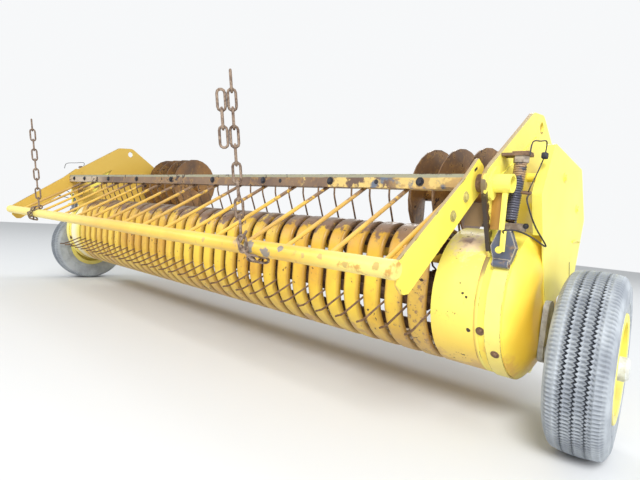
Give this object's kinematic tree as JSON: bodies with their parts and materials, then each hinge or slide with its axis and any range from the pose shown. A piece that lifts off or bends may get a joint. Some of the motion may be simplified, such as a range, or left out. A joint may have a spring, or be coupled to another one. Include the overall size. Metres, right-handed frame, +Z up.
{
  "type": "round baler pickup",
  "caption": "Round baler pickup: tined reel behind curved stripper bands, with drums, lift arms, hinged wind guard on chains, stub augers and gauge wheels.",
  "frame": {"origin": "on the axis of the two lift bores, midway between the side plates", "axes": "+X to the machine's left side, along the reel; -Y forward, the way the machine is pulled; +Z up"},
  "size_m": [2.8122, 1.0268, 0.7815],
  "materials": {
    "yellow_paint": "sunlit yellow enamel, chipped and dusty",
    "band_paint": "amber yellow enamel, rusty along the edges",
    "frame_paint": "yellow enamel in shade, worn brown edges",
    "worn_paint": "yellow paint worn through to brown steel",
    "auger_paint": "yellow paint browned by crop",
    "rim_paint": "yellow enamel",
    "rusty_steel": "brown rust",
    "dark_steel": "dark grey paint, dusty",
    "spring_steel": "black spring steel",
    "tine_wire": "rust brown spring wire, tips worn bright",
    "chain_steel": "rusty chain steel",
    "pale_steel": "pale grey cap",
    "blue_grey_steel": "dark blue-grey steel, rusty edges",
    "tyre": "dusty grey rubber"
  },
  "bodies": {
    "pickup_frame": {"stripper_bands": "band_paint", "top_beam": "frame_paint", "low_beam": "frame_paint", "side_plate_left": "frame_paint", "side_plate_right": "frame_paint", "drum_left": "yellow_paint", "drum_right": "yellow_paint", "end_cover_left": "yellow_paint", "end_cover_right": "yellow_paint", "strap_left": "yellow_paint", "strap_right": "yellow_paint", "side_shield_left": "yellow_paint", "side_shield_right": "yellow_paint", "shield_posts_left": "frame_paint", "shield_posts_right": "frame_paint", "guard_boss_left": "yellow_paint", "guard_boss_right": "yellow_paint", "wheel_arm_left": "dark_steel", "wheel_arm_right": "dark_steel", "spring_left": "spring_steel", "spring_right": "spring_steel", "spring_nut_left": "rusty_steel", "spring_nut_right": "rusty_steel", "spring_lug_left": "rusty_steel", "spring_lug_right": "rusty_steel", "spring_foot_left": "pale_steel", "spring_foot_right": "pale_steel", "strap_bracket_left": "blue_grey_steel", "strap_bracket_right": "blue_grey_steel", "bracket_tongue_left": "yellow_paint", "bracket_tongue_right": "yellow_paint"},
    "reel": {"tine_bars": "rusty_steel", "tines": "tine_wire", "spiders": "rusty_steel", "reel_tube": "rusty_steel"},
    "wind_guard": {"guard_tube": "yellow_paint", "guard_bar": "worn_paint", "guard_rods": "yellow_paint", "guard_arm_left": "yellow_paint", "guard_arm_right": "yellow_paint", "guard_pivot_left": "rusty_steel", "guard_pivot_right": "rusty_steel", "guard_chain_left": "chain_steel", "guard_chain_right": "chain_steel"},
    "auger_left": {"auger_tube_left": "auger_paint", "auger_flight_left": "auger_paint"},
    "gauge_wheel_left": {"tyre_left": "tyre", "rim_left": "rim_paint", "hub_cap_left": "pale_steel"},
    "auger_right": {"auger_tube_right": "auger_paint", "auger_flight_right": "auger_paint"},
    "gauge_wheel_right": {"tyre_right": "tyre", "rim_right": "rim_paint", "hub_cap_right": "pale_steel"}
  },
  "joints": [
    {"name": "reel_spin", "type": "hinge", "parent": "pickup_frame", "child": "reel", "pos_m": [0, -0.132, -0.447], "axis": [1, 0, 0], "continuous": true},
    {"name": "wind_guard_lift", "type": "hinge", "parent": "pickup_frame", "child": "wind_guard", "pos_m": [0, -0.295, -0.176], "axis": [-1, 0, 0], "range_deg": [0, 35]},
    {"name": "auger_left_spin", "type": "hinge", "parent": "pickup_frame", "child": "auger_left", "pos_m": [0.93, 0.203, -0.157], "axis": [1, 0, 0], "continuous": true},
    {"name": "auger_right_spin", "type": "hinge", "parent": "pickup_frame", "child": "auger_right", "pos_m": [-0.93, 0.203, -0.157], "axis": [1, 0, 0], "continuous": true},
    {"name": "gauge_wheel_left_spin", "type": "hinge", "parent": "pickup_frame", "child": "gauge_wheel_left", "pos_m": [1.332, -0.124, -0.547], "axis": [0.9981, 0.061, 0], "continuous": true},
    {"name": "gauge_wheel_right_spin", "type": "hinge", "parent": "pickup_frame", "child": "gauge_wheel_right", "pos_m": [-1.332, -0.124, -0.547], "axis": [0.9981, -0.061, 0], "continuous": true}
  ]
}
